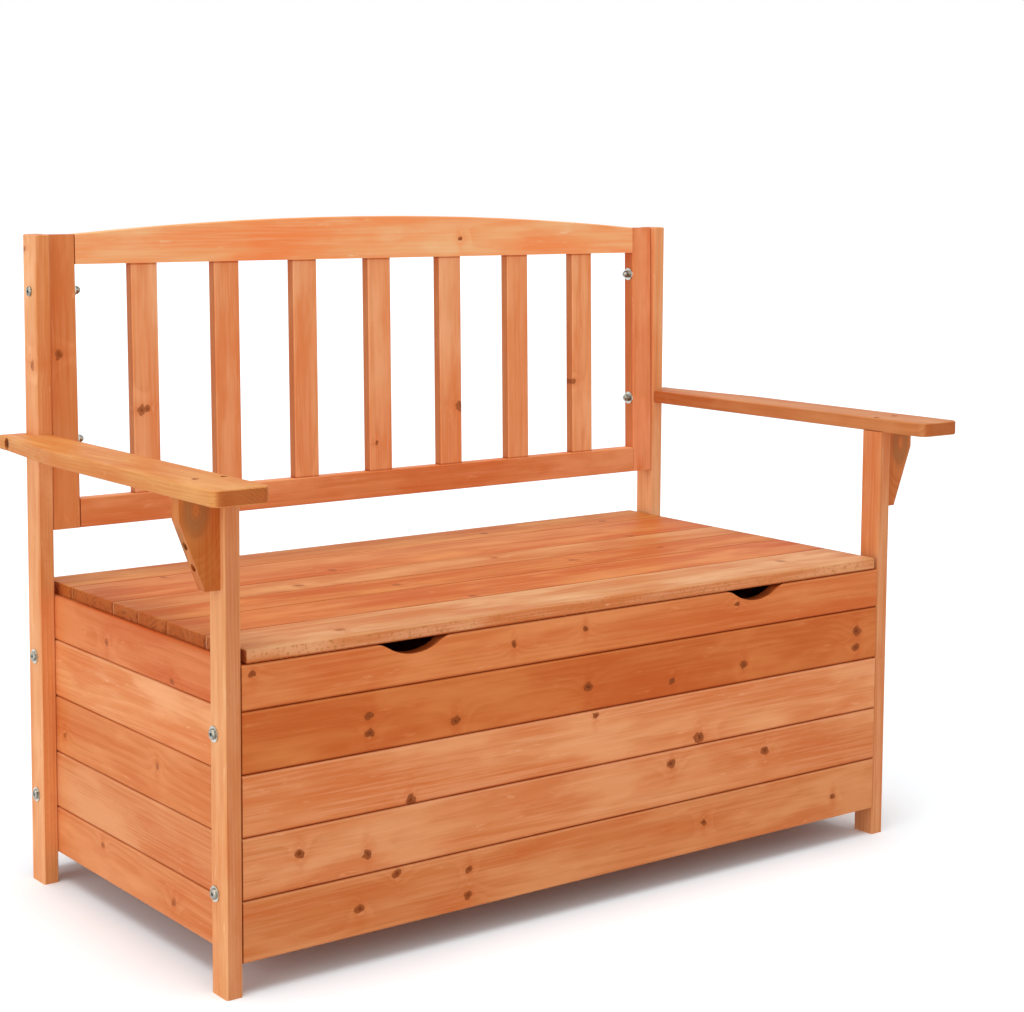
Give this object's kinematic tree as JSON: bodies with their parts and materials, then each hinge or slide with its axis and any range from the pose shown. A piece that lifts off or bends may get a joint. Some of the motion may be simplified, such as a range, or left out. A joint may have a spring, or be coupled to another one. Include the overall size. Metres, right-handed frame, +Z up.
{
  "type": "garden storage bench",
  "caption": "Stained wooden garden bench with a slatted back, flat armrests and a boarded storage box under a hinged seat lid held open by folding stays.",
  "frame": {"origin": "middle of the bounding box, on the floor under the feet", "axes": "+X along the seat to the viewer's right, +Y from front to back, +Z up"},
  "size_m": [1.132, 0.6014, 0.8398],
  "materials": {
    "stained_wood": "satin stain over softwood",
    "plain_wood": "bare",
    "zinc_steel": "bright zinc plating"
  },
  "bodies": {
    "bench": {"arm_bracket_left": "stained_wood", "arm_bracket_right": "stained_wood", "arm_screws": "zinc_steel", "armrest_left": "stained_wood", "armrest_right": "stained_wood", "back_boards": "stained_wood", "back_bottom_rail": "stained_wood", "back_dowels": "plain_wood", "back_slats": "stained_wood", "back_stile_left": "stained_wood", "back_stile_right": "stained_wood", "back_top_rail": "stained_wood", "bolts": "zinc_steel", "bracket_screws": "zinc_steel", "cap_nuts": "zinc_steel", "centre_battens": "stained_wood", "corner_battens": "stained_wood", "floor_bearers": "stained_wood", "floor_boards": "stained_wood", "front_board_1": "stained_wood", "front_board_2": "stained_wood", "front_board_3": "stained_wood", "front_board_4": "stained_wood", "front_board_5": "stained_wood", "hinge_leaves_box": "zinc_steel", "hinge_pins": "zinc_steel", "hinge_rail": "stained_wood", "hinge_screws": "zinc_steel", "leg_front_left": "stained_wood", "leg_front_right": "stained_wood", "leg_rear_left": "stained_wood", "leg_rear_right": "stained_wood", "side_left_board_1": "stained_wood", "side_left_board_2": "stained_wood", "side_left_board_3": "stained_wood", "side_left_board_4": "stained_wood", "side_left_board_5": "stained_wood", "side_right_board_1": "stained_wood", "side_right_board_2": "stained_wood", "side_right_board_3": "stained_wood", "side_right_board_4": "stained_wood", "side_right_board_5": "stained_wood", "stay_screws": "zinc_steel", "stay_wall_brackets": "zinc_steel", "washers": "zinc_steel"},
    "lid": {"lid_board_1": "stained_wood", "lid_board_2": "stained_wood", "lid_board_3": "stained_wood", "lid_board_4": "stained_wood", "lid_board_5": "stained_wood", "lid_board_6": "stained_wood", "lid_battens": "stained_wood", "hinge_leaves_lid": "zinc_steel", "lid_screws": "zinc_steel", "stay_lid_brackets": "zinc_steel"},
    "stay_lower_left": {"stay_lower_left": "zinc_steel"},
    "stay_lower_right": {"stay_lower_right": "zinc_steel"},
    "stay_upper_left": {"stay_upper_left": "zinc_steel"},
    "stay_upper_right": {"stay_upper_right": "zinc_steel"}
  },
  "joints": [
    {"name": "lid_hinge", "type": "hinge", "parent": "bench", "child": "lid", "pos_m": [0, 0.27925, 0.3655], "axis": [-1, 0, 0], "range_deg": [0, 51]},
    {"name": "stay_lower_pivot_left", "type": "hinge", "parent": "bench", "child": "stay_lower_left", "pos_m": [-0.4752, -0.03475, 0.3442], "axis": [1, 0, 0], "range_deg": [0, 112.02]},
    {"name": "stay_upper_pivot_left", "type": "hinge", "parent": "lid", "child": "stay_upper_left", "pos_m": [-0.4724, 0.05025, 0.357], "axis": [1, 0, 0], "range_deg": [0, 22.66]},
    {"name": "stay_lower_pivot_right", "type": "hinge", "parent": "bench", "child": "stay_lower_right", "pos_m": [0.4752, -0.03475, 0.3442], "axis": [1, 0, 0], "range_deg": [0, 112.02]},
    {"name": "stay_upper_pivot_right", "type": "hinge", "parent": "lid", "child": "stay_upper_right", "pos_m": [0.4724, 0.05025, 0.357], "axis": [1, 0, 0], "range_deg": [0, 22.66]}
  ],
  "couplings": [
    {"joint": "stay_lower_pivot_left", "follows": "lid_hinge", "ratio": 2.1866},
    {"joint": "stay_upper_pivot_left", "follows": "lid_hinge", "ratio": 0.4345},
    {"joint": "stay_lower_pivot_right", "follows": "lid_hinge", "ratio": 2.1866},
    {"joint": "stay_upper_pivot_right", "follows": "lid_hinge", "ratio": 0.4345}
  ]
}
